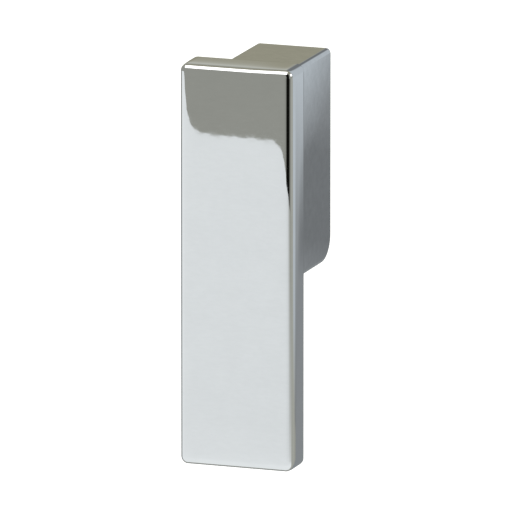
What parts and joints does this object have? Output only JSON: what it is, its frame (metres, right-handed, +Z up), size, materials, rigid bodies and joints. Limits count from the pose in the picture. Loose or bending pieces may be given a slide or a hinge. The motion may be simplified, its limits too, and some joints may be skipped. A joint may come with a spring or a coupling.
{
  "type": "sash lift handle",
  "caption": "Flat upright finger plate on a hollow block foot, clamped by a set screw over a block that screws to a window sash.",
  "frame": {"origin": "on the sash face, midway between the two sash screws", "axes": "+Z up, +Y into the sash, +X to the right as the plate's front is looked at"},
  "size_m": [0.0152, 0.0326, 0.0521],
  "materials": {
    "polished_chrome": "mirror-polished chrome plating on brass",
    "cast_zinc": "satin zinc casting",
    "zinc_plated_steel": "bright zinc plating",
    "black_steel": "black oxide"
  },
  "bodies": {
    "fixing": {"mounting_block": "cast_zinc", "sash_screw_upper": "zinc_plated_steel", "sash_screw_lower": "zinc_plated_steel"},
    "handle": {"foot_shell": "polished_chrome", "front_plate": "polished_chrome", "plate_screw_upper": "black_steel", "plate_screw_lower": "black_steel"},
    "clamp_screw": {"set_screw": "black_steel"}
  },
  "joints": [
    {"name": "handle_lift_off", "type": "slide", "parent": "fixing", "child": "handle", "axis": [0, -1, 0], "range_m": [0, 0.01]},
    {"name": "set_screw_travel", "type": "slide", "parent": "handle", "child": "clamp_screw", "axis": [0, 0, -1], "range_m": [0, 0.0021]}
  ]
}
